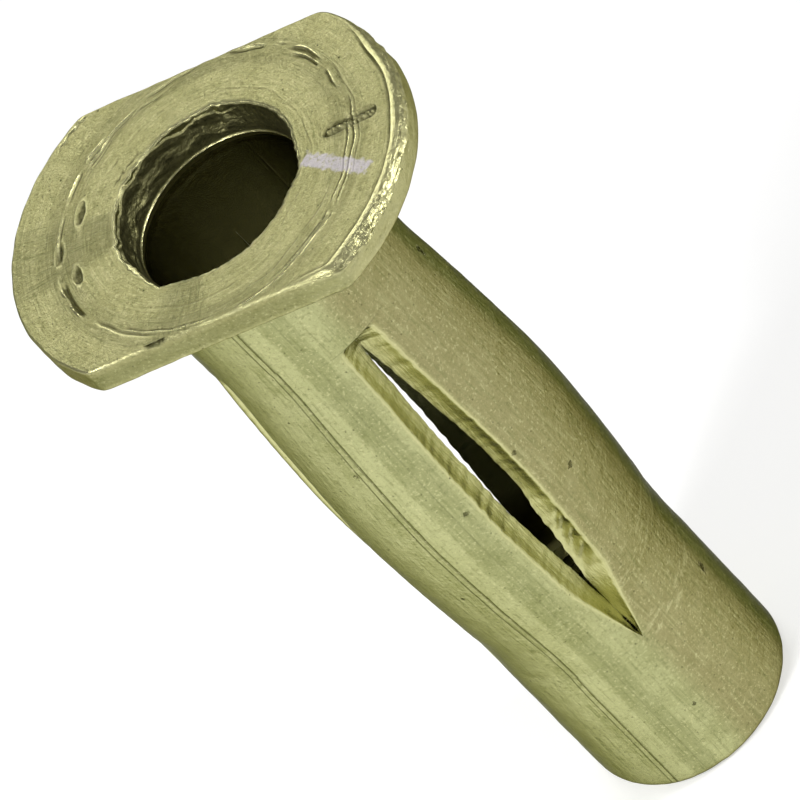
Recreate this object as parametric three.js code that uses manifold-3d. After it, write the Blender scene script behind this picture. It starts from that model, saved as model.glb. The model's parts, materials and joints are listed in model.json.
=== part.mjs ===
// Pre-bulbed, four-slot threaded wall anchor, cold formed in one piece and yellow zinc plated.
// Millimetres. +Z runs along the axis from the nose to the flange, and the origin is the centre of the nose's end face.
// The forging is split at the lines where it folds when the anchor is set, so each stiff zone is its own solid.
import * as THREE from "three";
import { LoftGeometry } from "three/addons/geometries/LoftGeometry.js";
import Module from "manifold-3d";

const wasm = await Module();
wasm.setup();

// Overall sizes
const LENGTH = 38;
const SHANK_R = 4.7625; // 3/8 in shank
const NOSE_R = 4.715;
const BORE_R = 3.9; // plain bore through the flange, the neck and the legs

// Double-D flange: two arcs whose centres lie a little to either side of the axis, and two flats
const ARC_R = 8.2;
const ARC_OFFSET = 0.65;
const FLAT_HALF = 6.6; // 13.2 mm across the flats
const FLANGE_T = 1.36;
const FLANGE_BREAK = 0.2;
const FLANGE_CLEARANCE = 0.03; // between the flange and the top of the neck
const MOUTH_R = 4.15;
const MOUTH_DEPTH = 1.7;

// Slots and the four legs between them
const LEGS = 4;
const FIRST_LEG_DEG = -12;
const SLOT_TOP_Z = 31.3;
const FOLD_GAP = 0.2; // clearance across each fold line
const KNEE_Z = 20.47;
const BULGE = 0.7; // how far a leg's middle stands out from the shank
const BULGE_ROUNDING = 0.22;
const OUTER_HALF_DEG = 34; // half the angle that a leg covers on the outside
const INNER_HALF_DEG = 44.2; // and on the inside: the slot walls are bevelled

// Feet and the threaded barrel
const FOOT_H = 0.9;
const FOOT_CLEARANCE = 0.1;
const NOSE_ROUNDING = 0.45;
const THREAD_MAJOR_R = 3.18; // 1/4-20 UNC
const THREAD_MINOR_R = 2.56;
const THREAD_PITCH = 1.27;
const THREAD_ROOT = 0.16; // width of the flat at the thread's root
const THREAD_FLANK = 2 * Math.tan(Math.PI / 6); // groove width gained per millimetre of depth
const COUNTERSINK = 0.7;
const CUTTER_REACH = 0.3; // how far the thread's cutter stands inside the hole it cuts from

// How finely curves are cut
const ROUND = 48;
const ARC = 12;
const LEG_STEPS = 7;
const THREAD_STEPS = 16;

const rootZ = SLOT_TOP_Z - FOLD_GAP / 2;
const footZ = 2 * KNEE_Z - rootZ;
const rad = THREE.MathUtils.degToRad;

const plated = (color, roughness) =>
  new THREE.MeshStandardMaterial({ color, roughness, metalness: 1 });
const flangeSkin = plated(0xa3a274, 0.48);
const shankSkin = plated(0x9a9b69, 0.42);
const legSkin = plated(0x9c9d6b, 0.44);
const noseSkin = plated(0xa7a976, 0.4);

const object = new THREE.Group();
object.name = "wall_anchor";

function addNode(name, geometry, material) {
  const mesh = new THREE.Mesh(geometry, material);
  mesh.name = name;
  object.add(mesh);
}

// Closed profile of [radius, z] points, counterclockwise with the radius to the right, turned about Z.
function turned(profile) {
  const points = [...profile, profile[0]].map(([r, z]) => new THREE.Vector2(r, z));
  return new THREE.LatheGeometry(points, ROUND).rotateX(Math.PI / 2);
}

function flange() {
  const corner = Math.asin(FLAT_HALF / ARC_R);
  const outline = new THREE.Shape();
  outline.absarc(ARC_OFFSET, 0, ARC_R, -corner, corner, false);
  outline.absarc(-ARC_OFFSET, 0, ARC_R, Math.PI - corner, Math.PI + corner, false);
  outline.closePath();
  const hole = new THREE.Path();
  hole.absarc(0, 0, SHANK_R + FLANGE_CLEARANCE, 0, 2 * Math.PI, true);
  outline.holes.push(hole);
  const plate = new THREE.ExtrudeGeometry(outline, {
    depth: FLANGE_T - 2 * FLANGE_BREAK,
    curveSegments: ROUND / 2,
    bevelThickness: FLANGE_BREAK,
    bevelSize: FLANGE_BREAK,
    bevelOffset: -FLANGE_BREAK,
    bevelSegments: 2,
  });
  return plate.translate(0, 0, LENGTH - FLANGE_T + FLANGE_BREAK);
}

// The neck runs up through the flange and holds the flared mouth of the bore.
function neck() {
  return turned([
    [BORE_R, SLOT_TOP_Z],
    [SHANK_R, SLOT_TOP_Z],
    [SHANK_R, LENGTH],
    [MOUTH_R, LENGTH],
    [BORE_R, LENGTH - MOUTH_DEPTH],
  ]);
}

// Outward shift of a leg's section: nearly straight either side of a rounded knee.
function bulgeAt(z) {
  const t = Math.min(1, Math.abs(z - KNEE_Z) / (rootZ - KNEE_Z));
  const fall = Math.hypot(t, BULGE_ROUNDING) - BULGE_ROUNDING;
  return BULGE * (1 - fall / (Math.hypot(1, BULGE_ROUNDING) - BULGE_ROUNDING));
}

// One quarter of the tube wall at height z, on the +X side, as a closed counterclockwise section.
function wallSection(z, outerHalf, innerHalf, shift) {
  const section = [];
  for (const [radius, from, to] of [
    [SHANK_R, -outerHalf, outerHalf],
    [BORE_R, innerHalf, -innerHalf],
  ]) {
    for (let i = 0; i <= ARC; i++) {
      const a = rad(from + ((to - from) * i) / ARC);
      section.push(new THREE.Vector3(shift + radius * Math.cos(a), radius * Math.sin(a), z));
    }
  }
  return section;
}

function legHalf(fromZ, toZ) {
  const sections = [];
  for (let i = 0; i <= LEG_STEPS; i++) {
    const z = fromZ + ((toZ - fromZ) * i) / LEG_STEPS;
    sections.push(wallSection(z, OUTER_HALF_DEG, INNER_HALF_DEG, bulgeAt(z)));
  }
  return new LoftGeometry(sections, { capStart: true, capEnd: true });
}

function foot() {
  const top = footZ - FOLD_GAP / 2;
  const sections = [top - FOOT_H, top].map((z) =>
    wallSection(z, INNER_HALF_DEG, INNER_HALF_DEG, 0),
  );
  return new LoftGeometry(sections, { capStart: true, capEnd: true });
}

function toSolid(geometry) {
  const source = geometry.index ? geometry.toNonIndexed() : geometry;
  const mesh = new wasm.Mesh({
    numProp: 3,
    vertProperties: source.attributes.position.array,
    triVerts: Uint32Array.from({ length: source.attributes.position.count }, (_, i) => i),
  });
  mesh.merge();
  return new wasm.Manifold(mesh);
}

function toGeometry(solid) {
  const { vertProperties, triVerts } = solid.getMesh();
  return new THREE.BufferGeometry()
    .setAttribute("position", new THREE.BufferAttribute(vertProperties, 3))
    .setIndex(new THREE.BufferAttribute(triVerts, 1));
}

// The thread's groove as a solid: a trapezoid carried along a right-hand helix, past both ends of the barrel.
function threadGroove(top) {
  const inside = THREAD_MINOR_R - CUTTER_REACH;
  const width = THREAD_ROOT + (THREAD_MAJOR_R - inside) * THREAD_FLANK;
  const turns = top / THREAD_PITCH + 2;
  const count = Math.ceil(turns * THREAD_STEPS);
  const sections = [];
  for (let i = 0; i <= count; i++) {
    const a = (2 * Math.PI * i) / THREAD_STEPS;
    const z = -THREAD_PITCH + (THREAD_PITCH * i) / THREAD_STEPS;
    sections.push(
      [
        [inside, -width / 2],
        [inside, width / 2],
        [THREAD_MAJOR_R, THREAD_ROOT / 2],
        [THREAD_MAJOR_R, -THREAD_ROOT / 2],
      ].map(([r, dz]) => new THREE.Vector3(r * Math.cos(a), r * Math.sin(a), z + dz)),
    );
  }
  return new LoftGeometry(sections, { capStart: true, capEnd: true });
}

function barrel() {
  const top = footZ - FOLD_GAP / 2 - FOOT_H - FOOT_CLEARANCE;
  const corner = NOSE_ROUNDING * (1 - Math.SQRT1_2);
  const blank = turned([
    [THREAD_MINOR_R + COUNTERSINK, 0],
    [NOSE_R - NOSE_ROUNDING, 0],
    [NOSE_R - corner, corner],
    [NOSE_R, NOSE_ROUNDING],
    [NOSE_R, top],
    [THREAD_MINOR_R + COUNTERSINK, top],
    [THREAD_MINOR_R, top - COUNTERSINK],
    [THREAD_MINOR_R, COUNTERSINK],
  ]);
  return toGeometry(toSolid(blank).subtract(toSolid(threadGroove(top))));
}

addNode("flange", flange(), flangeSkin);
addNode("neck", neck(), shankSkin);
for (let leg = 1; leg <= LEGS; leg++) {
  const turn = rad(FIRST_LEG_DEG + (360 / LEGS) * (leg - 1));
  const upper = legHalf(KNEE_Z + FOLD_GAP / 2, rootZ - FOLD_GAP / 2);
  const lower = legHalf(footZ + FOLD_GAP / 2, KNEE_Z - FOLD_GAP / 2);
  addNode("leg_" + leg + "_upper", upper.rotateZ(turn), legSkin);
  addNode("leg_" + leg + "_lower", lower.rotateZ(turn), legSkin);
  addNode("leg_" + leg + "_foot", foot().rotateZ(turn), legSkin);
}
addNode("threaded_barrel", barrel(), noseSkin);

export default object;
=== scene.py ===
import json
import math

import bpy
import numpy as np
from mathutils import Matrix, Vector


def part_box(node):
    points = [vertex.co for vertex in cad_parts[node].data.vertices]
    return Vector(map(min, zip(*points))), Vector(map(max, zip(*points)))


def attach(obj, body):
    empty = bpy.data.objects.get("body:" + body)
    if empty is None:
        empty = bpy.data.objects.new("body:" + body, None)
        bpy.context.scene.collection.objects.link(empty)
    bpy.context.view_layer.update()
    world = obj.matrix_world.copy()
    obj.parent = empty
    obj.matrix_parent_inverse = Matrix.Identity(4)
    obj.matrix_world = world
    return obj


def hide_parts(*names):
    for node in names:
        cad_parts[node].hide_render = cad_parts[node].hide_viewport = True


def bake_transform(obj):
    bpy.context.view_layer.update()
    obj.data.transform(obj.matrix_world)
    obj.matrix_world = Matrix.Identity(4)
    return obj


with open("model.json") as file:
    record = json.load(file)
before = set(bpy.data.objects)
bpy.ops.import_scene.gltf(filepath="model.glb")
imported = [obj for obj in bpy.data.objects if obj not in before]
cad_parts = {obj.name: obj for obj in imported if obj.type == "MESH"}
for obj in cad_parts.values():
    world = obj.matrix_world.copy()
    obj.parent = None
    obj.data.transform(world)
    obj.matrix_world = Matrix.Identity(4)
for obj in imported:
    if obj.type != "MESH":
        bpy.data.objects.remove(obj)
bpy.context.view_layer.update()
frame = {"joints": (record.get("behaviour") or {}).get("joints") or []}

# Lengths below are in millimetres, and become metres when a mesh is made.
MM = 0.001

flange_lo, flange_hi = (np.array(c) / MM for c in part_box("flange"))
_, neck_hi = (np.array(c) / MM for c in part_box("neck"))
_, nose_hi = (np.array(c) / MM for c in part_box("threaded_barrel"))
foot_lo, _ = (np.array(c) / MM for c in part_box("leg_1_foot"))
joints = {j["name"]: j for j in frame["joints"]}


def fold_z(name):
    return joints["leg_1_%s_fold" % name]["pos_m"][2] / MM


TOP = flange_hi[2]
SEAT = flange_lo[2]
FLAT = flange_hi[1]
SHANK_R = neck_hi[0]
NOSE_R = nose_hi[0]
ROOT_Z, KNEE_Z, FOOT_Z = fold_z("root"), fold_z("knee"), fold_z("foot")
hinge = joints["leg_1_root_fold"]["pos_m"]
FIRST_LEG = math.degrees(math.atan2(hinge[1], hinge[0]))

BORE_R = 3.9
WALL = SHANK_R - BORE_R
BULGE = 0.70
KNEE_ROUNDING = 0.24
LAND = 0.05  # the thin land left where a slot breaks through the wall
HAIR = 0.004  # half the gap between pieces that meet
FEET_GAP = 0.038  # added to it where the feet lean towards each other as they fold

SLOT_TOP = ROOT_Z + 0.14
HEAD_SEAM = ROOT_Z + 0.8
NOSE_SEAM = foot_lo[2]
SLOT_BOTTOM = NOSE_SEAM + 0.1
UPPER_SEAM = ROOT_Z - 5.7
LOWER_SEAM = FOOT_Z + 5.7


# ---------------------------------------------------------------- shapes

def smooth(a, b, x):
    t = np.clip((np.asarray(x, float) - a) / (b - a), 0, 1)
    return t * t * (3 - 2 * t)


def waves(seed, count, shortest, longest):
    """A smooth random field of two lengths, about -1 to 1, built from plane waves."""
    rng = np.random.default_rng(seed)
    k = 2 * np.pi / np.exp(rng.uniform(math.log(shortest), math.log(longest), count))
    turn = rng.uniform(0, np.pi, count)
    phase = rng.uniform(0, 2 * np.pi, count)

    def field(u, v):
        u, v = np.broadcast_arrays(np.asarray(u, float), np.asarray(v, float))
        angle = (
            np.multiply.outer(u, k * np.cos(turn))
            + np.multiply.outer(v, k * np.sin(turn))
            + phase
        )
        return np.sin(angle).sum(-1) / math.sqrt(count / 2) / 1.6

    return field


def round_field(field):
    """The same field on a cylinder of about the shank's radius, with no seam."""
    return lambda theta, v: 0.7 * (
        field(SHANK_R * np.cos(theta), v) + field(v + 40, SHANK_R * np.sin(theta))
    )


ripple = round_field(waves(3, 14, 1.2, 6))
dents = round_field(waves(5, 22, 0.5, 1.4))
torn = round_field(waves(8, 30, 0.22, 1.1))
edge_wave = waves(12, 12, 0.6, 5)
edge_chip = waves(15, 14, 0.18, 0.7)


def outer_radius(z):
    z = np.asarray(z, float)
    root_waist = 0.05 * np.exp(-(((z - ROOT_Z + 1.0) / 1.7) ** 2))
    foot_waist = 0.08 * np.exp(-(((z - FOOT_Z - 1.0) / 2.2) ** 2))
    taper = SHANK_R + (NOSE_R - SHANK_R) * smooth(14, 6, z)
    return taper - root_waist - foot_waist


def bulge(z):
    """How far a leg's section is shifted outward: straight flanks and a rounded knee."""
    t = abs(z - KNEE_Z) / (ROOT_Z - KNEE_Z)
    fall = math.hypot(t, KNEE_ROUNDING) - KNEE_ROUNDING
    shift = BULGE * (1 - fall / (math.hypot(1, KNEE_ROUNDING) - KNEE_ROUNDING))
    ends = float(smooth(0, 0.8, HEAD_SEAM - z) * smooth(0, 0.8, z - NOSE_SEAM))
    return 0.5 * ends * (shift + math.hypot(shift, 0.07))


def skin(theta, z):
    """Small unevenness of the forged outside, in millimetres."""
    return 0.010 * ripple(theta, z) + 0.004 * dents(theta, z)


def angle_at(r, gap, d):
    """The angle from a leg's middle at which a circle of radius r, shifted outward by d, comes as near as gap
    to the middle plane of the slot, which stands at 45 degrees to the leg's middle."""
    return math.acos((gap - d / math.sqrt(2)) / r) - math.pi / 4


def worn_wall(slot, side):
    """The wall that has a torn wedge and shear steps."""
    return slot == 0 and side < 0


def slot_shape(z, slot, side):
    """Half width outside, half width inside, and depth of a slot at height z. side is -1 or 1."""
    below = SLOT_TOP - z
    above = z - SLOT_BOTTOM
    if below <= 0 or above <= 0:
        return HAIR, 0.0, HAIR
    d = bulge(z)
    wave = float(edge_wave(z, 7 * slot + 3 * side))
    chip = float(edge_chip(z, 5 * slot + 2 * side))
    top_end = (1 - (1 - min(1, below / 0.45)) ** 3) ** (1 / 3.4)
    low_end = min(1, above / 4.6) ** 0.78
    outside = (0.86 + 0.52 * d + 0.022 * wave + 0.008 * chip) * top_end * low_end
    from_top = 0.34 * (1 - math.exp(-below / 0.13)) + 0.50 * below
    from_low = 0.10 * (1 - math.exp(-above / 0.2)) + 0.36 * above
    depth = min(from_top, from_low)
    through = max(0.0, depth - WALL)
    lean = 0.11 * side * d / BULGE  # the cut breaks through a little off centre
    inside = (0.03 + 0.70 * d - lean + 0.03 * wave + 0.008 * chip) * (
        1 - math.exp(-through / 0.55)
    )
    if worn_wall(slot, side):
        wedge = float(
            smooth(KNEE_Z - 1.2, KNEE_Z - 2.6, z) * smooth(FOOT_Z + 1, FOOT_Z + 3, z)
        )
        inside -= 0.16 * wedge * (1 + 0.15 * chip)
    outside = max(outside, 3 * HAIR)
    inside = min(max(inside, 0.0), 0.75 * outside)
    return outside, inside, min(max(depth, HAIR), WALL)


# Points along a section: the outer arc, a slot's rounded edge, its wall, and the inner arc.
ARC_POINTS = 54
EDGE_POINTS = 5
WALL_POINTS = 12
INNER_POINTS = 26


def slot_side(z, slot, side, d, r):
    """The wall of a slot in a leg's section, on the leg's +Y side: the angle at which the outer arc ends,
    the points from there to the inner arc with their wear and painted highlight and their dirt and painted
    shade, and the inner arc's first angle."""
    outside, inside, depth = slot_shape(z, slot, side)
    between_feet = float(
        smooth(FOOT_Z - 0.75, FOOT_Z - 0.5, z) * smooth(FOOT_Z + 0.4, FOOT_Z + 0.1, z)
    )
    gap = HAIR + FEET_GAP * between_feet
    outside = max(outside, gap)
    plane = np.array([math.sqrt(0.5), math.sqrt(0.5)])

    def on_circle(radius, a):
        return np.array([d + radius * math.cos(a), radius * math.sin(a)])

    edge_angle = angle_at(r, outside, d)
    edge = on_circle(r, edge_angle)
    rim = np.linalg.norm(on_circle(r, angle_at(r, 0, d)))
    hole = np.linalg.norm(on_circle(BORE_R, angle_at(BORE_R, 0, d)))
    inner_angle = angle_at(BORE_R, max(inside, gap), d)
    inner = on_circle(BORE_R, inner_angle)
    if inside > 0:
        floor = inner + LAND * inner / np.linalg.norm(inner)
    else:
        floor = (rim - min(depth / WALL, 1 - LAND / WALL) * (rim - hole)) * plane
        floor = floor + gap * plane * [1, -1]
    reach = np.linalg.norm(floor - edge)
    ease = min(0.15, 0.3 * reach, 0.3 * outside)
    start_angle = edge_angle - ease / r
    start = on_circle(r, start_angle)
    wall_start = edge + (floor - edge) * ease / reach
    points, marks = [], []
    for i in range(1, EDGE_POINTS + 1):
        t = i / EDGE_POINTS
        points.append((1 - t) ** 2 * start + 2 * t * (1 - t) * edge + t * t * wall_start)
        # One row along the slot's outer edge is painted bright, as a highlight line along the edge.
        marks.append((0.6 if i == EDGE_POINTS // 2 + 1 and reach > 0.2 else 0.0, -t))
    along = floor - wall_start
    normal = np.array([-along[1], along[0]]) / max(np.linalg.norm(along), 1e-9)
    for i in range(1, WALL_POINTS + 1):
        t = i / WALL_POINTS
        relief = 0.05 * min(1, reach / 0.8) * math.sin(math.pi * t)
        if worn_wall(slot, side):
            step = (z + 1.6 * t - FOOT_Z - 4.6) / 0.95
            if 0 < step < 3.6:
                relief += 0.12 * (step % 1.0) * math.sin(math.pi * t) ** 0.5
        relief += 0.004 * math.sin(math.pi * t) * float(torn(slot + 0.4 * t, z * 1.3))
        points.append(wall_start + along * t + normal * relief)
        marks.append((0.0, -1.0))
    points.append((floor * 2 + inner) / 3)
    points.append((floor + inner * 2) / 3)
    marks.extend([(0.5, -1.0), (0.2, 0.0)] if inside > 0 else [(0.0, 0.4)] * 2)
    return start_angle, np.hstack([points, marks]), inner_angle


def leg_section(leg, z):
    """The closed section of one leg at height z, counterclockwise, turned to its place."""
    d, r = bulge(z), float(outer_radius(z))
    left_angle, left, left_inner = slot_side(z, leg, -1, d, r)
    right_angle, right, right_inner = slot_side(z, (leg + 1) % 4, 1, d, r)
    outer = np.linspace(-left_angle, right_angle, ARC_POINTS)
    inner = np.linspace(right_inner, -left_inner, INNER_POINTS)
    middle = math.radians(FIRST_LEG + 90 * leg)
    rough = r + skin(outer + middle, z)
    none = np.zeros_like
    points = [
        np.stack([d + rough * np.cos(outer), rough * np.sin(outer), none(outer), none(outer)], 1),
        right,
        np.stack([d + BORE_R * np.cos(inner), BORE_R * np.sin(inner), none(inner), none(inner)], 1),
        left[::-1] * [1, -1, 1, 1],
    ]
    x, y, wear_and_highlight, dirt_and_shade = np.concatenate(points).T
    c, s = math.cos(middle), math.sin(middle)
    return np.stack([x * c - y * s, x * s + y * c, np.full(len(x), z), wear_and_highlight, dirt_and_shade], 1)


def add_mesh(name, points, faces):
    """A closed body. A point is x, y, z, wear_and_highlight, dirt_and_shade. The materials read the last two,
    which run from 0 to 1.
    The first is real wear mixed with painted highlights on edges and rims. The second is dirt mixed with
    painted shade in hollows and under the flange.
    A dirt_and_shade of -1 marks a sheared wall."""
    mesh = bpy.data.meshes.new(name)
    mesh.from_pydata((points[:, :3] * MM).tolist(), [], faces)
    rest = mesh.attributes.new("rest", "FLOAT_VECTOR", "POINT")
    rest.data.foreach_set("vector", points[:, :3].astype(np.float32).ravel())
    for column, key in ((3, "wear_and_highlight"), (4, "dirt_and_shade")):
        values = mesh.attributes.new(key, "FLOAT", "POINT")
        values.data.foreach_set("value", points[:, column].astype(np.float32))
    mesh.validate()
    mesh.shade_smooth()
    mesh.set_sharp_from_angle(angle=math.radians(38))
    obj = bpy.data.objects.new(name, mesh)
    bpy.context.scene.collection.objects.link(obj)
    return obj


def grid_faces(rows, columns, close_rows):
    i = np.arange(rows if close_rows else rows - 1)[:, None]
    j = np.arange(columns)[None, :]
    k = (i + 1) % rows
    l = (j + 1) % columns
    return np.stack(
        np.broadcast_arrays(i * columns + j, i * columns + l, k * columns + l, k * columns + j), -1
    ).reshape(-1, 4).tolist()


def add_loft(name, sections):
    """A closed body through sections that go up."""
    rows, columns = len(sections), len(sections[0])
    faces = grid_faces(rows, columns, False)
    faces.append(list(range(columns))[::-1])
    faces.append([(rows - 1) * columns + j for j in range(columns)])
    return add_mesh(name, np.concatenate(sections), faces)


def add_ring(name, profile, steps):
    """A closed ring round Z. profile(angles) gives rows of radius, height, wear and painted highlight, and
    dirt and painted shade that go round the section anticlockwise, with the radius to the right."""
    theta = np.linspace(0, 2 * np.pi, steps, endpoint=False)
    rows = [np.stack(np.broadcast_arrays(*row, theta)[:-1], -1) for row in profile(theta)]
    r, z, wear_and_highlight, dirt_and_shade = np.moveaxis(np.stack(rows, 1), -1, 0)
    points = np.stack([r * np.cos(theta)[:, None], r * np.sin(theta)[:, None], z, wear_and_highlight, dirt_and_shade], -1)
    return add_mesh(name, points.reshape(-1, 5), grid_faces(steps, len(rows), True))


def spread(*parts):
    """One list of heights from (from, to, step) parts, going down."""
    out = []
    for a, b, step in parts:
        out.extend(np.linspace(a, b, max(2, round((a - b) / step) + 1))[:-1])
    return out + [parts[-1][1]]


# ---------------------------------------------------------------- flange

ARC_CENTRE = 0.65
ARC_R = flange_hi[0] - ARC_CENTRE


def outline(theta):
    c, s = np.abs(np.cos(theta)), np.maximum(np.abs(np.sin(theta)), 1e-6)
    round_side = ARC_CENTRE * c + np.sqrt(ARC_R**2 - (ARC_CENTRE * s) ** 2)
    flat_side = FLAT / s
    blend = 0.12
    lower = 0.5 * (round_side + flat_side - np.sqrt((round_side - flat_side) ** 2 + blend**2))
    return lower - 0.02 + 0.018 * edge_wave(6 * np.cos(theta), 6 * np.sin(theta))


def degrees_off(theta, middle):
    return np.abs((np.degrees(theta) - middle + 180) % 360 - 180)


def angle_window(theta, middle, half, soft):
    """1 within half of the middle, in degrees, and 0 beyond soft more."""
    return smooth(half + soft, half, degrees_off(theta, middle))


MOUTH_R = 4.10

# Corners of the mouth: angle, half angle, how far it reaches out.
MOUTH_CORNERS = ((-12, 15, 0.20), (84, 16, 0.10), (150, 14, 0.12), (240, 17, 0.28))

# The middles, in degrees, of the side where the mouth is torn and of the side where the rim is rolled over.
TORN_SIDE = 150
ROLLED_SIDE = -12


def mouth_radius(theta):
    r = MOUTH_R + 0.03 * edge_wave(9 * np.cos(theta), 9 * np.sin(theta))
    for middle, half, out in MOUTH_CORNERS:
        r = r + out * np.clip(1 - degrees_off(theta, middle) / half, 0, 1) ** 1.3
    ragged = angle_window(theta, TORN_SIDE, 62, 18)
    return r + ragged * (0.06 * dents(theta, 3.0) + 0.03 * torn(theta, 1.0))


def groove_line(distance, width):
    return np.exp(-((distance / width) ** 2))


# Laps left in the flange's face when the head was rolled: radius, from angle, to angle, depth, width.
LAPS = (
    (6.62, -46, 16, 0.055, 0.065),
    (6.36, -66, 10, 0.050, 0.065),
    (6.50, -82, -38, 0.070, 0.070),
    (6.26, -128, -88, 0.045, 0.065),
    (6.44, -140, -112, 0.040, 0.070),
    (6.66, -168, -146, 0.100, 0.085),
    (6.48, 160, 182, 0.045, 0.065),
    (6.46, 132, 158, 0.085, 0.080),
    (6.26, 118, 146, 0.065, 0.070),
    (6.40, 86, 112, 0.035, 0.060),
    (6.58, 58, 80, 0.085, 0.080),
    (6.76, 38, 58, 0.065, 0.065),
    (6.52, 22, 50, 0.050, 0.060),
    (6.90, -30, 40, 0.020, 0.050),
    (5.95, -75, -20, 0.018, 0.050),
    (6.10, 100, 150, 0.024, 0.050),
    (4.72, -60, 110, 0.010, 0.060),
    (5.35, -140, -70, 0.010, 0.060),
    (5.20, 60, 170, 0.010, 0.060),
)

# Generic tool marks in place of a stamped mark: x, y, half length, half width, turn, depth.
DIMPLES = (
    (-5.55, 1.55, 0.52, 0.20, 80, 0.11),
    (-6.55, -0.10, 0.50, 0.19, 84, 0.09),
    (-5.75, -1.55, 0.46, 0.19, 98, 0.11),
)


def face_relief(x, y):
    """Height of the flange's outer face above its plane, with its wear and painted highlight and its dirt and
    painted shade: the floors of the cuts are darker and their lips lighter.
    """
    r = np.hypot(x, y)
    theta = np.arctan2(y, x)
    wander = 0.07 * edge_wave(0.5 * x, 0.5 * y)
    h = 0.004 * ripple(theta, r * 0.8) + 0.0012 * dents(theta, 2 * r)
    wear_and_highlight, dirt_and_shade = 0 * r, 0 * r
    broken = smooth(-1.1, -0.3, dents(theta, r * 0.6) + 0.5 * ripple(theta, r))

    def cut(depth, floor, lip):
        nonlocal h, wear_and_highlight, dirt_and_shade
        h = h - depth * floor + 0.5 * depth * lip
        dirt_and_shade = dirt_and_shade + np.clip(depth / 0.06, 0, 1) * floor**2
        wear_and_highlight = wear_and_highlight + np.clip(depth / 0.07, 0, 1) * lip

    for radius, start, stop, depth, width in LAPS:
        middle, half = (start + stop) / 2, (stop - start) / 2
        window = angle_window(theta, middle, half * 0.7, half * 0.3 + 3) * broken
        line = r - radius - wander - 0.05 * ripple(theta, 3 * radius)
        cut(
            1.2 * depth,
            window * groove_line(line, width * 0.8),
            window * groove_line(line - 1.5 * width, width * 0.8),
        )
    # a radial mark that holds a twisted ridge
    along, across = x - 6.55, y - 0.30 - 0.05 * (x - 6.55)
    spine = np.hypot(np.maximum(np.abs(along) - 0.92, 0), across)
    inside = smooth(0.30, 0.22, spine)
    twist = np.sin(24 * along + 13 * across + 1.5 * edge_wave(2 * x, 2 * y))
    ridge = smooth(0.26, 0.04, spine) * (0.72 + 0.28 * twist)
    h = h - inside * (0.12 - 0.13 * ridge) + 0.025 * groove_line(spine - 0.33, 0.05)
    dirt_and_shade = dirt_and_shade + inside * (1 - ridge)
    wear_and_highlight = wear_and_highlight + 0.8 * inside * smooth(0.55, 0.95, ridge)
    for px, py, half_l, half_w, turn, depth in DIMPLES:
        c, s = math.cos(math.radians(turn)), math.sin(math.radians(turn))
        u = ((x - px) * c + (y - py) * s) / half_l
        v = (-(x - px) * s + (y - py) * c) / half_w
        q = np.hypot(u, v) + 0.12 * edge_wave(3 * x, 3 * y)
        cut(depth, smooth(1.1, 0.55, q), 0.5 * groove_line(q - 1.25, 0.22))
        h = h + 0.03 * smooth(0.9, 0.5, q) * np.abs(np.sin(11 * u))
    # a lap across one corner, and a short crack beside the torn mouth
    lap = (y - 5.35) - 0.92 * (x + 6.35) + 0.10 * edge_wave(2 * x, 2 * y)
    reach = smooth(-6.6, -6.3, x) * smooth(-4.9, -5.2, x)
    cut(0.06, reach * groove_line(lap, 0.05), reach * smooth(0.0, 0.05, lap) * smooth(0.4, 0.1, lap))
    crack = y - 2.9 - 0.95 * (x + 3.3) + 0.08 * edge_wave(3 * x, y)
    reach = smooth(-4.1, -3.9, x) * smooth(-2.7, -2.9, x)
    cut(0.06, reach * groove_line(crack, 0.05), 0 * r)
    return h, wear_and_highlight, dirt_and_shade


# Points along the flange's profile: the rim's upper edge, the face, and the throat.
RIM_POINTS = 16
FACE_POINTS = 150
THROAT_POINTS = 56
STEP_R = 3.86  # the step where the bore starts, with its bright line painted as a highlight, and how far it lies below the face
STEP_DROP = 1.66
NICK_X = -2.6  # a nick in the upper edge of the flat at -Y

# Ledges of the torn mouth: depth, share of the step, how much the depth wanders, softness.
LEDGES = ((0.26, 0.45, 0.24, 0.04), (0.92, 0.55, 0.34, 0.26))


def torn_share(theta, drop):
    """How much of the step from mouth to bore is left at this depth where the mouth is torn."""
    share = 1.0
    for i, (depth, part, wander, soft) in enumerate(LEDGES):
        edge = depth + wander * (
            edge_wave(1.7 * theta, 11 * i) + 0.30 * edge_chip(0.9 * theta, 7 * i + 2)
        )
        lip = 0.08 * groove_line(drop - edge - 0.08, 0.06)  # a hollow under each flake
        share = share - part * smooth(edge - soft, edge + soft, drop) + lip
    return share


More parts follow.
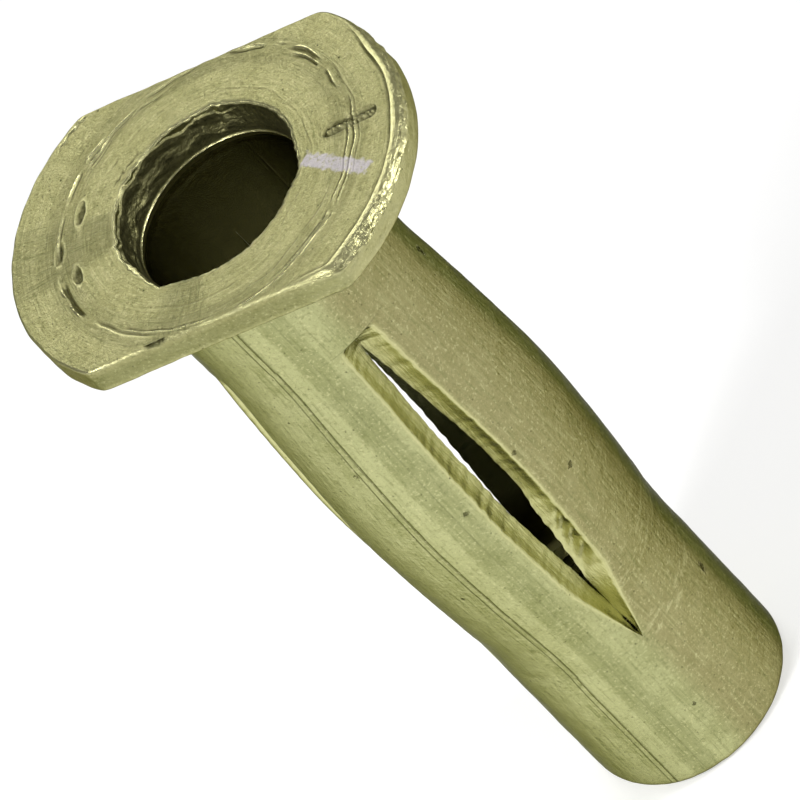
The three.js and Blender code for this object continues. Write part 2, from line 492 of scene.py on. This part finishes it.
def flange_profile(theta):
    rim = outline(theta)
    mouth = mouth_radius(theta)
    rolled = angle_window(theta, ROLLED_SIDE, 34, 22) * (0.85 + 0.15 * ripple(theta, 2.0))
    roll = 0.15 + 0.40 * rolled
    face_edge = rim - roll
    along_edge = rim * np.cos(theta) - NICK_X + 0.1 * ripple(theta, 4.0)
    nick = smooth(0.45, 0.30, np.abs(along_edge)) * (theta > np.pi)
    rows = []
    # underside, from the bore out
    for t in np.linspace(0, 1, 12):
        rows.append((BORE_R + 0.02 + (rim - 0.18 - BORE_R) * t, SEAT, 0, 0.2))
    # rim: a small lower edge, the side and the rolled upper edge
    for a in np.linspace(0, math.pi / 2, 4)[1:]:
        rows.append((rim - 0.16 + 0.16 * math.sin(a), SEAT + 0.16 - 0.16 * math.cos(a), 0.4, 0))
    side_top = TOP - roll * 1.05
    for t in np.linspace(0, 1, 8)[1:]:
        z = SEAT + 0.16 + (side_top - SEAT - 0.16) * t
        rough = 0.012 * dents(theta, z * 2) + 0.03 * rolled * dents(theta, z + 7)
        rows.append((rim + rough, z, 0.3 * rolled, 0.1 * (1 - rolled)))
    for a in np.linspace(0, math.pi / 2, RIM_POINTS)[1:]:
        dent = 0.07 * nick * math.sin(a)
        grain = rolled * (0.045 * dents(theta * 2, 3 * a) + 0.030 * torn(theta * 2, 2 * a))
        # The rolled rim is painted bright as a highlight band, and the middle of the rounded edge lighter,
        # partly wear and partly painted highlight.
        wear_and_highlight = np.maximum(0.75 * rolled, 0.9 * math.sin(2 * a) * (0.7 + 0.3 * ripple(theta, 9.0)))
        rows.append(
            (
                face_edge + (roll + grain) * math.cos(a) - dent,
                side_top + roll * 1.05 * math.sin(a) - 0.02 * rolled * math.sin(a) ** 6 - dent,
                np.clip(wear_and_highlight, 0, 1) * (1 - nick),
                0.9 * nick * math.sin(a),
            )
        )
    # outer face, from the rim in to the mouth
    for t in np.linspace(0, 1, FACE_POINTS)[1:]:
        r = face_edge + (mouth - face_edge) * t
        inset = face_edge - r
        h, wear_and_highlight, dirt_and_shade = face_relief(r * np.cos(theta), r * np.sin(theta))
        lip = 1 - smooth(0, 0.16, r - mouth)
        # A groove beside the rolled rim, cut into the face and painted darker as shade.
        ditch = rolled * groove_line(inset - 0.05, 0.06)
        h = h * smooth(0, 0.15, inset) * smooth(0.0, 0.12, r - mouth) - 0.08 * ditch - 0.05 * lip
        rows.append((r, TOP + h, np.clip(wear_and_highlight + 0.8 * lip, 0, 1), np.clip(dirt_and_shade + ditch, 0, 1)))
    # throat: a torn funnel down to a step, then the plain bore
    ragged = angle_window(theta, TORN_SIDE, 66, 20)
    for t in np.linspace(0, 1, THROAT_POINTS)[1:]:
        drop = 0.05 + (STEP_DROP + 0.25) * t
        funnel = 1 - float(smooth(0, 0.86, t)) ** 0.8
        left = torn_share(theta, drop)
        share = funnel + ragged * (left - funnel)
        fine = 0.012 * ragged * smooth(1.5, 1.2, drop) * dents(theta + 0.3 * drop, drop * 1.5)
        ring = groove_line(drop - STEP_DROP, 0.055)
        r = STEP_R + (mouth - 0.04 - STEP_R) * share + fine - 0.055 * ring
        if drop > STEP_DROP + 0.12:
            r = BORE_R
        # The throat is painted darker deeper down and under the torn flakes, as painted shade, and the step's
        # ring is painted bright as a highlight line.
        under = ragged * np.clip(funnel - left, -0.5, 1) * smooth(1.6, 1.3, drop)
        shade = 0.15 + 0.30 * float(smooth(0, 0.5, drop)) + 1.2 * under
        rows.append((r, TOP - drop, ring * 0.9, np.clip(shade - ring, 0, 1)))
    return rows


flange = add_ring("flange_head", flange_profile, 600)


# ---------------------------------------------------------------- neck and nose

def neck_profile(theta):
    heights = spread((SEAT, HEAD_SEAM, 0.12))[::-1]
    rows = []
    for z in heights:
        fillet = 0.28 * min(1, max(0, 1 - (SEAT - z) / 0.35)) ** 2
        # Painted shadow: the neck is painted darker just under the flange.
        corner = float(smooth(0.5, 0.0, SEAT - z))
        rows.append((outer_radius(z) + fillet + skin(theta, z), z, 0, 0.8 * corner))
    for z in heights[::-1]:
        second = 0.03 * groove_line(z - (SEAT - 0.9), 0.08)
        rows.append((BORE_R - second, min(z, TOP - STEP_DROP - 0.3), 0.5 * second / 0.03, 0))
    return rows


neck = add_ring("neck_tube", neck_profile, 288)

THREAD_PITCH = 1.27
THREAD_DEPTH = 0.62
THREAD_R = 2.56


def nose_profile(theta):
    edge = 0.5
    uneven = 0.015 * edge_wave(5 * np.cos(theta), 5 * np.sin(theta))
    rows = []
    # end face and its rounded edge
    for r in np.linspace(THREAD_R + 0.75, NOSE_R - edge, 10):
        rows.append((r, 0.02 + 0.02 * edge_wave(r * 3, 2), 0, 0.2))
    for a in np.linspace(0, math.pi / 2, 8)[1:-1]:
        r = NOSE_R - edge + edge * math.sin(a) + uneven * math.sin(2 * a)
        rows.append((r, edge * (1 - math.cos(a)) + 0.02 * math.cos(a), 0.3, 0.5 * math.cos(a)))
    seam = NOSE_SEAM - HAIR
    for z in spread((seam, edge, 0.2))[::-1]:
        rows.append((outer_radius(z) + skin(theta, z) * smooth(edge, edge + 0.4, z), z, 0, 0))
    # inside: shoulder, lead-in, thread and lead-out
    rows.append((BORE_R, seam, 0, 0.5))
    rows.append((BORE_R - 0.25, seam - 0.02, 0, 0.5))
    for z in spread((NOSE_SEAM - 0.1, 0.1, 0.09)):
        turns = z / THREAD_PITCH - theta / (2 * np.pi)
        phase = np.abs((turns % 1.0) * 2 - 1)  # 1 at a crest, 0 at a root
        groove = THREAD_DEPTH * np.clip(1.25 - 1.35 * phase, 0, 1)
        lead = max(z - (NOSE_SEAM - 0.75), 0) + max(0.75 - z, 0)
        rows.append((THREAD_R + np.maximum(groove, lead), z, 0.6 * phase, 0.6 * groove / THREAD_DEPTH))
    return rows


nose = add_ring("threaded_nose", nose_profile, 240)


# ---------------------------------------------------------------- legs

heights = spread(
    (HEAD_SEAM, SLOT_TOP + 0.02, 0.2),
    (SLOT_TOP, SLOT_TOP - 0.5, 0.03),
    (SLOT_TOP - 0.5, SLOT_TOP - 1.9, 0.07),
    (SLOT_TOP - 1.9, UPPER_SEAM, 0.13),
    (UPPER_SEAM, LOWER_SEAM, 0.13),
    (LOWER_SEAM, SLOT_BOTTOM + 2.6, 0.13),
    (SLOT_BOTTOM + 2.6, SLOT_BOTTOM, 0.07),
    (SLOT_BOTTOM, NOSE_SEAM, 0.1),
)
heights = sorted(set(round(float(z), 5) for z in heights))


def nearest(z):
    return min(heights, key=lambda h: abs(h - z))


legs = []
for leg in range(4):
    sections = {z: leg_section(leg, z) for z in heights}
    for part, low, high in (
        ("foot", heights[0], nearest(LOWER_SEAM)),
        ("knee", nearest(LOWER_SEAM), nearest(UPPER_SEAM)),
        ("root", nearest(UPPER_SEAM), heights[-1]),
    ):
        obj = add_loft(
            "plated_leg_%d_%s" % (leg + 1, part), [sections[z] for z in heights if low <= z <= high]
        )
        legs.append((leg + 1, part, obj))


# ---------------------------------------------------------------- materials

class Nodes:
    """A material's nodes, written as expressions."""

    def __init__(self, name):
        self.material = bpy.data.materials.new(name)
        self.material.use_nodes = True
        self.tree = self.material.node_tree
        self.shader = self.tree.nodes["Principled BSDF"]
        attribute = self.add("ShaderNodeAttribute")
        attribute.attribute_name = "rest"
        self.rest = attribute.outputs["Vector"]
        split = self.add("ShaderNodeSeparateXYZ", self.rest)
        self.x, self.y, self.z = split.outputs
        self.r = self.length(self.x, self.y)
        self.theta = self.math("DEGREES", self.math("ARCTAN2", self.y, self.x))
        self.wear_and_highlight = self.add("ShaderNodeAttribute", attribute_name="wear_and_highlight").outputs["Fac"]
        self.dirt_and_shade = self.add("ShaderNodeAttribute", attribute_name="dirt_and_shade").outputs["Fac"]

    def add(self, kind, *inputs, **settings):
        node = self.tree.nodes.new(kind)
        for key, value in settings.items():
            setattr(node, key, value)
        for i, value in enumerate(inputs):
            self.put(node.inputs[i], value)
        return node

    def put(self, socket, value):
        if isinstance(value, bpy.types.NodeSocket):
            self.tree.links.new(value, socket)
        elif value is not None:
            socket.default_value = value

    def math(self, kind, a, b=None, c=None):
        return self.add("ShaderNodeMath", a, b, c, operation=kind).outputs[0]

    def times(self, *values):
        out = values[0]
        for v in values[1:]:
            out = self.math("MULTIPLY", out, v)
        return out

    def plus(self, *values):
        out = values[0]
        for v in values[1:]:
            out = self.math("ADD", out, v)
        return out

    def length(self, x, y):
        return self.math("SQRT", self.plus(self.times(x, x), self.times(y, y)))

    def ramp(self, value, a, b, to_a=0.0, to_b=1.0):
        """Goes smoothly from to_a to to_b as the value goes from a to b."""
        node = self.add("ShaderNodeMapRange", interpolation_type="SMOOTHSTEP")
        for i, v in enumerate((value, a, b, to_a, to_b)):
            self.put(node.inputs[i], v)
        return node.outputs[0]

    def join(self, x, y, z):
        return self.add("ShaderNodeCombineXYZ", x, y, z).outputs[0]

    def noise(self, vector, scale, detail=3.0, rough=0.5):
        node = self.add("ShaderNodeTexNoise")
        self.put(node.inputs["Vector"], vector)
        self.put(node.inputs["Scale"], scale)
        self.put(node.inputs["Detail"], detail)
        self.put(node.inputs["Roughness"], rough)
        return node.outputs[0]

    def cells(self, vector, scale):
        """The distance to the nearest random point, and that point's random colour."""
        node = self.add("ShaderNodeTexVoronoi")
        self.put(node.inputs["Vector"], vector)
        self.put(node.inputs["Scale"], scale)
        return node.outputs["Distance"], node.outputs["Color"]

    def mix(self, share, a, b):
        node = self.add("ShaderNodeMix", data_type="RGBA")
        self.put(node.inputs["Factor"], share)
        for socket, value in ((node.inputs[6], a), (node.inputs[7], b)):
            self.put(socket, (*value, 1.0) if isinstance(value, tuple) else value)
        return node.outputs[2]

    def line(self, middle, width, core=0.3):
        """1 on a line along the axis at this angle, in degrees."""
        off = self.math("ABSOLUTE", self.math("SUBTRACT", self.theta, middle))
        return self.ramp(off, width, width * core)

    def between(self, value, low, high, soft):
        """1 between low and high."""
        return self.times(self.ramp(value, low - soft, low), self.ramp(value, high + soft, high))

    def bump(self, height, distance, strength):
        node = self.add("ShaderNodeBump")
        self.put(node.inputs["Strength"], strength)
        self.put(node.inputs["Distance"], distance * MM)
        self.put(node.inputs["Height"], height)
        return node.outputs[0]


def srgb(r, g, b):
    def linear(v):
        v /= 255
        return v / 12.92 if v <= 0.04045 else ((v + 0.055) / 1.055) ** 2.4

    return tuple(linear(v) for v in (r, g, b))


LIGHT = srgb(192, 193, 142)
MIDDLE = srgb(164, 166, 116)
OLIVE = srgb(124, 129, 82)
TAN = srgb(150, 142, 98)
BRASS = srgb(176, 162, 112)
DARK = srgb(40, 38, 16)
PAINT = srgb(214, 208, 213)
BRIGHT = srgb(216, 213, 162)
SHEARED = srgb(204, 203, 146)
FLECK = srgb(92, 96, 56)
SKIN_AND_SHADE = srgb(112, 108, 64)

# Lines and bands along the shank, from the dies and from drawing: middle and half width in degrees, strength.
# The light bands at -92 and -71 degrees are partly a painted highlight, and the olive band at 20 degrees is
# partly painted shade.
DIE_LINES = (
    (-100.6, 0.55, 0.7),
    (-97.5, 0.8, 0.85),
    (-80.5, 0.5, 0.3),
    (80.5, 0.8, 0.8),
    (83.2, 0.5, 0.6),
)
LIGHT_BANDS_AND_HIGHLIGHT = (
    (-124.0, 20.0, 0.6),
    (-92.0, 5.0, 0.5),
    (-71.0, 7.0, 0.2),
    (92.0, 9.0, 0.7),
    (10.0, 6.0, 0.3),
    (176.0, 5.0, 0.4),
)
OLIVE_BANDS_AND_SHADE = ((-80.0, 8.0, 0.35), (20.0, 24.0, 0.7), (70.0, 12.0, 0.4), (150.0, 14.0, 0.5))

# Knocks on the shank: angle in degrees, height, half width and half height in millimetres.
KNOCKS = (
    (-102.0, 25.3, 0.16, 0.22),
    (7.0, 29.8, 0.22, 0.40),
    (-27.3, 18.4, 0.16, 0.24),
    (-42.2, 21.5, 0.12, 0.14),
    (-75.6, 21.0, 0.14, 0.18),
    (-3.2, 7.2, 0.22, 0.40),
    (-62.0, 4.0, 0.10, 0.22),
    (-108.0, 16.2, 0.12, 0.12),
    (35.0, 12.0, 0.20, 0.30),
    (120.0, 24.0, 0.24, 0.30),
    (160.0, 6.0, 0.20, 0.40),
    (-160.0, 28.0, 0.16, 0.30),
)


# A stripe of paint on the face: its middle, and its direction as a unit vector.
STRIPE = (5.85, -1.47)
STRIPE_ALONG = (0.84, -0.54)

ROUGHNESS = {"face": 0.34, "shank": 0.25}
BUMP_STRENGTH = {"face": 0.8, "shank": 0.5}
BUMP_DEPTH = 0.09


def plating(name, kind):
    """Yellow zinc plating over forged steel. kind is face or shank."""
    n = Nodes(name)
    cos, sin = n.math("DIVIDE", n.x, n.r), n.math("DIVIDE", n.y, n.r)
    around = n.join(cos, sin, n.times(n.z, 0.012))
    patches = n.noise(n.rest, 0.6, 3, 0.55)
    blotch = n.noise(n.rest, 2.1, 4, 0.65)
    grain = n.noise(n.rest, 4.2, 4, 0.75)
    fine = n.noise(n.rest, 6.8, 3, 0.75)
    colour = n.mix(n.ramp(patches, 0.38, 0.62, 0.1, 0.5), MIDDLE, LIGHT)
    colour = n.mix(n.ramp(blotch, 0.5, 0.72, 0, 0.35), colour, OLIVE)
    if kind == "face":
        colour = n.mix(0.3, colour, BRASS)
    height = n.plus(n.times(grain, 0.8), n.times(fine, 0.5), -0.65)
    if kind == "shank":
        colour = n.mix(n.times(n.between(n.theta, -48, 20, 16), 0.75), colour, TAN)
        # The light bands at -92 and -71 degrees are partly a painted highlight band.
        for middle, half, share in LIGHT_BANDS_AND_HIGHLIGHT:
            colour = n.mix(n.times(n.line(middle, half, 0.75), share), colour, LIGHT)
        # The olive band at 20 degrees is partly painted shade on the side turned from the light.
        for middle, half, share in OLIVE_BANDS_AND_SHADE:
            colour = n.mix(n.times(n.line(middle, half, 0.6), share), colour, OLIVE)
        streak = n.noise(around, 38.0, 5, 0.65)
        colour = n.mix(n.ramp(streak, 0.5, 0.72, 0, 0.5), colour, OLIVE)
        colour = n.mix(n.ramp(streak, 0.48, 0.3, 0, 0.35), colour, LIGHT)
        height = n.plus(height, n.times(streak, 0.9), -0.45)
        for middle, half, share in DIE_LINES:
            line = n.times(n.line(middle, half), n.ramp(fine, 0.3, 0.6, share * 0.6, share))
            colour = n.mix(n.times(line, 0.6), colour, DARK)
            height = n.plus(height, n.times(line, -1.0))
        # rubbed marks across the shank
        rub = n.noise(n.join(n.times(n.theta, 0.03), n.times(n.z, 1.4), 0.0), 2.6, 4, 0.7)
        low = n.math("MAXIMUM", n.between(n.z, 11.7, 12.9, 0.3), n.between(n.z, 8.3, 9.2, 0.3))
        where = n.times(n.math("MAXIMUM", low, 0.1), n.between(n.theta, -50, 5, 8))
        rubbed = n.times(n.ramp(rub, 0.5, 0.62), where, 0.3)
        colour = n.mix(rubbed, colour, BRIGHT)
        knock = 0.0
        for angle, z, half_w, half_h in KNOCKS:
            u = n.times(n.math("SUBTRACT", n.theta, angle), math.pi / 180 * SHANK_R / half_w)
            v = n.times(n.math("SUBTRACT", n.z, z), 1 / half_h)
            q = n.plus(n.length(u, v), n.times(grain, 3.2), -1.4)
            knock = n.math("MAXIMUM", knock, n.ramp(q, 1.0, 0.6))
        colour = n.mix(n.times(knock, 0.65), colour, DARK)
        height = n.plus(height, n.times(knock, -2.0))
    else:
        on_face = n.ramp(n.z, TOP - 0.25, TOP - 0.12)
        flats = n.ramp(n.math("ABSOLUTE", n.y), FLAT - 0.3, FLAT - 0.08)
        colour = n.mix(n.times(flats, n.ramp(n.z, TOP - 0.2, TOP - 0.45), 0.4), colour, OLIVE)
        rings = n.noise(n.join(n.times(n.r, 0.55), n.times(cos, 0.14), n.times(sin, 0.14)), 26.0, 5, 0.7)
        outer = n.between(n.r, 6.1, 6.9, 0.5)
        turned = n.times(n.plus(rings, -0.5), on_face, n.plus(0.6, n.times(outer, 0.7)))
        colour = n.mix(n.times(n.ramp(rings, 0.52, 0.66), on_face, 0.4), colour, OLIVE)
        colour = n.mix(n.times(n.ramp(rings, 0.48, 0.36), on_face, 0.3), colour, BRIGHT)
        height = n.plus(height, n.times(turned, 0.45))
        fan = n.noise(n.join(n.times(n.theta, 0.12), n.times(n.r, 0.05), 0.0), 9.0, 4, 0.65)
        left = n.ramp(n.math("ABSOLUTE", n.math("SUBTRACT", n.math("ABSOLUTE", n.theta), 176)), 12, 6)
        bottom = n.ramp(n.math("ABSOLUTE", n.plus(n.theta, 103)), 14, 7)
        fan_mask = n.times(n.math("MAXIMUM", left, bottom), on_face)
        height = n.plus(height, n.times(n.plus(fan, -0.5), fan_mask, 0.8))
        colour = n.mix(n.times(n.ramp(fan, 0.52, 0.66), fan_mask, 0.5), colour, OLIVE)
    sheared = n.math("MAXIMUM", n.times(n.dirt_and_shade, -1.0), 0.0)
    colour = n.mix(n.times(sheared, 0.8), colour, SHEARED)
    height = n.times(height, n.plus(1.0, n.times(sheared, -0.6)))
    # grain of light and dark flecks; the light flecks are partly painted glints
    calm = n.plus(1.0, n.times(sheared, -0.6))
    colour = n.mix(n.times(n.ramp(grain, 0.54, 0.68), calm, 0.3), colour, OLIVE)
    colour = n.mix(n.times(n.ramp(fine, 0.56, 0.66), calm, 0.45), colour, BRIGHT)
    colour = n.mix(n.times(n.ramp(fine, 0.44, 0.32), calm, 0.32), colour, FLECK)
    # pits, dirt and painted shade in hollows, and wear and painted highlights on edges
    distance, cell = n.cells(n.rest, 1.1)
    chosen = n.ramp(n.add("ShaderNodeSeparateColor", cell).outputs[0], 0.80, 0.83)
    pit = n.times(n.ramp(n.plus(distance, n.times(grain, 0.06)), 0.10, 0.055), chosen)
    distance, cell = n.cells(n.rest, 3.2)
    chosen = n.ramp(n.add("ShaderNodeSeparateColor", cell).outputs[0], 0.72, 0.76)
    speck = n.times(n.ramp(distance, 0.16, 0.08), chosen)
    dirt_and_shade = n.math("MAXIMUM", n.dirt_and_shade, 0.0)
    colour = n.mix(n.times(dirt_and_shade, n.ramp(grain, 0.3, 0.7, 0.55, 0.85)), colour, DARK)
    colour = n.mix(n.times(n.wear_and_highlight, n.ramp(grain, 0.35, 0.62, 0.3, 0.9)), colour, BRIGHT)
    colour = n.mix(n.times(pit, 0.7), colour, DARK)
    colour = n.mix(n.times(speck, 0.4), colour, DARK)
    # worn edges are smoother
    height = n.times(height, n.plus(1.0, n.times(n.wear_and_highlight, -0.7)))
    height = n.math("SUBTRACT", height, n.plus(n.times(pit, 0.5), n.times(speck, 0.3)))
    rough = n.plus(ROUGHNESS[kind], n.times(dirt_and_shade, 0.15), n.times(n.wear_and_highlight, -0.10))
    # the bore keeps its dark, smooth skin, painted darker still as shade
    inside = n.ramp(n.r, BORE_R + 0.16, BORE_R + 0.06)
    if kind == "face":
        inside = n.times(inside, n.ramp(n.z, TOP - STEP_DROP + 0.02, TOP - STEP_DROP - 0.08))
        dx, dy = n.plus(n.x, -STRIPE[0]), n.plus(n.y, -STRIPE[1])
        c, s = STRIPE_ALONG
        along = n.plus(n.times(dx, c), n.times(dy, s))
        across = n.plus(n.times(dx, -s), n.times(dy, c))
        wobble = n.times(n.math("SUBTRACT", n.noise(n.rest, 3.0, 3, 0.6), 0.5), 0.5)
        stripe = n.times(
            n.ramp(n.plus(n.math("ABSOLUTE", across), wobble), 0.38, 0.22),
            n.ramp(n.plus(n.math("ABSOLUTE", along), wobble), 1.72, 1.6),
            on_face,
            n.ramp(n.noise(n.rest, 5.0, 4, 0.7), 0.34, 0.50, 0.2, 0.85),
            n.math("SUBTRACT", 1.0, n.times(pit, 0.9)),
        )
        colour = n.mix(stripe, colour, PAINT)
        rough = n.plus(rough, n.times(stripe, 0.25))
    colour = n.mix(n.times(inside, 0.86), colour, SKIN_AND_SHADE)
    n.put(n.shader.inputs["Base Color"], colour)
    n.put(n.shader.inputs["Roughness"], rough)
    n.shader.inputs["Metallic"].default_value = 1.0
    n.shader.inputs["Specular Tint"].default_value = (0.12, 0.12, 0.08, 1.0)
    n.put(n.shader.inputs["Normal"], n.bump(height, BUMP_DEPTH, BUMP_STRENGTH[kind]))
    return n.material


face_metal = plating("plated_face", "face")
shank_metal = plating("plated_shank", "shank")
nose_metal = plating("plated_nose", "shank")

for obj, material, slot in (
    (flange, face_metal, "flange_plating"),
    (neck, shank_metal, "neck_plating"),
    (nose, nose_metal, "nose_plating"),
):
    obj.data.materials.append(material)
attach(flange, "head")
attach(neck, "head")
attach(nose, "nose")
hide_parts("flange")
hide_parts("neck")
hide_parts("threaded_barrel")

# Each leg piece gets the shank's plating and a baked transform, and the parts it stands in for are hidden.
for number, part, obj in legs:
    obj.data.materials.append(shank_metal)
    upper, lower = "leg_%d_upper" % number, "leg_%d_lower" % number
    foot = "nose" if number == 1 else "leg_%d_foot" % number
    above, below, z, nodes = {
        "root": ("head", upper, ROOT_Z, (upper,)),
        "knee": (upper, lower, KNEE_Z, (lower,)),
        "foot": (lower, foot, FOOT_Z, ("leg_%d_foot" % number,)),
    }[part]
    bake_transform(obj)
    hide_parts(*nodes)


# ---------------------------------------------------------------- stage

def stage_material(name, colour, glow):
    n = Nodes(name)
    soft = n.noise(n.rest, 2.0, 2, 0.5)
    n.put(n.shader.inputs["Base Color"], n.mix(soft, colour, tuple(c * 0.98 for c in colour)))
    n.shader.inputs["Roughness"].default_value = 0.9
    n.shader.inputs["Emission Color"].default_value = (1, 1, 1, 1)
    n.shader.inputs["Emission Strength"].default_value = glow
    return n.material


FLOOR = 3  # half the floor's side, in metres
floor_mesh = bpy.data.meshes.new("floor")
floor_mesh.from_pydata(
    [(-FLOOR, -FLOOR, 0), (FLOOR, -FLOOR, 0), (FLOOR, FLOOR, 0), (-FLOOR, FLOOR, 0)],
    [],
    [(0, 1, 2, 3)],
)
floor = bpy.data.objects.new("floor", floor_mesh)
bpy.context.scene.collection.objects.link(floor)
floor.data.materials.append(stage_material("floor_white", (0.65, 0.65, 0.65), 0.42))

world = bpy.data.worlds.new("studio")
bpy.context.scene.world = world
world.use_nodes = True
world.node_tree.nodes["Background"].inputs["Color"].default_value = (1, 1, 1, 1)
world.node_tree.nodes["Background"].inputs["Strength"].default_value = 0.27


# ---------------------------------------------------------------- camera and lights

AZIMUTH = math.radians(-59.93)
ELEVATION = math.radians(42.86)
ROLL = math.radians(-44.07)
DISTANCE = 309.8
AIM_Z = TOP - 17.145
AIM_SIDE = -1.270
AIM_UP = 1.056
LENS = 350.6

outward = Vector(
    (
        math.cos(ELEVATION) * math.cos(AZIMUTH),
        math.cos(ELEVATION) * math.sin(AZIMUTH),
        math.sin(ELEVATION),
    )
)
side = (-outward).cross(Vector((0, 0, 1))).normalized()
lift = side.cross(-outward)
right = math.cos(ROLL) * side + math.sin(ROLL) * lift
up = -math.sin(ROLL) * side + math.cos(ROLL) * lift
eye = Vector((0, 0, AIM_Z)) + outward * DISTANCE
aim = Vector((0, 0, AIM_Z)) + AIM_SIDE * right + AIM_UP * up
back = (eye - aim).normalized()
right = (right - right.dot(back) * back).normalized()
up = back.cross(right)

camera = bpy.data.objects.new("camera", bpy.data.cameras.new("camera"))
camera.data.lens = LENS
camera.data.sensor_width = 36
camera.data.clip_start = 0.01
camera.data.clip_end = 20
camera.matrix_world = Matrix.Translation(eye * MM) @ Matrix((right, up, back)).transposed().to_4x4()
bpy.context.scene.collection.objects.link(camera)
bpy.context.scene.camera = camera


def softbox(name, azimuth, elevation, distance, size, power):
    """A square soft light that looks at the middle of the object. Degrees, metres and watts."""
    a, e = math.radians(azimuth), math.radians(elevation)
    direction = Vector((math.cos(e) * math.cos(a), math.cos(e) * math.sin(a), math.sin(e)))
    light = bpy.data.lights.new(name, "AREA")
    light.shape = "SQUARE"
    light.size = size
    light.energy = power
    obj = bpy.data.objects.new(name, light)
    obj.location = direction * distance + Vector((0, 0, AIM_Z * MM))
    obj.rotation_euler = direction.to_track_quat("Z", "Y").to_euler()
    bpy.context.scene.collection.objects.link(obj)
    return obj


softbox("key", -118, 38, 0.25, 0.07, 0.26)  # the front edge of the flange
softbox("top", 112, 42, 0.5, 0.24, 0.84)  # its face
softbox("rim", 8, 28, 0.5, 0.06, 0.75)  # its rolled rim
softbox("fill", 0, 40, 0.5, 0.10, 0.5)

# A soft pool of light on the floor, which the shank mirrors as its bright band. Lengths in metres.
POOL_AZIMUTH = math.radians(-122)
POOL_AWAY = 0.027
LAMP_AWAY = 0.5  # from the pool, up a steep slope
LAMP_SLOPE = 1.6
pool = bpy.data.lights.new("pool", "SPOT")
pool.energy = 4.0
pool.spot_size = math.radians(8.5)
pool.spot_blend = 0.9
pool.shadow_soft_size = 0.02
lamp = bpy.data.objects.new("pool", pool)
sideways = Vector((math.cos(POOL_AZIMUTH), math.sin(POOL_AZIMUTH), 0))
toward = (sideways + Vector((0, 0, LAMP_SLOPE))).normalized()
lamp.location = sideways * POOL_AWAY + toward * LAMP_AWAY
lamp.rotation_euler = toward.to_track_quat("Z", "Y").to_euler()
bpy.context.scene.collection.objects.link(lamp)

bpy.context.scene.view_settings.view_transform = "Standard"
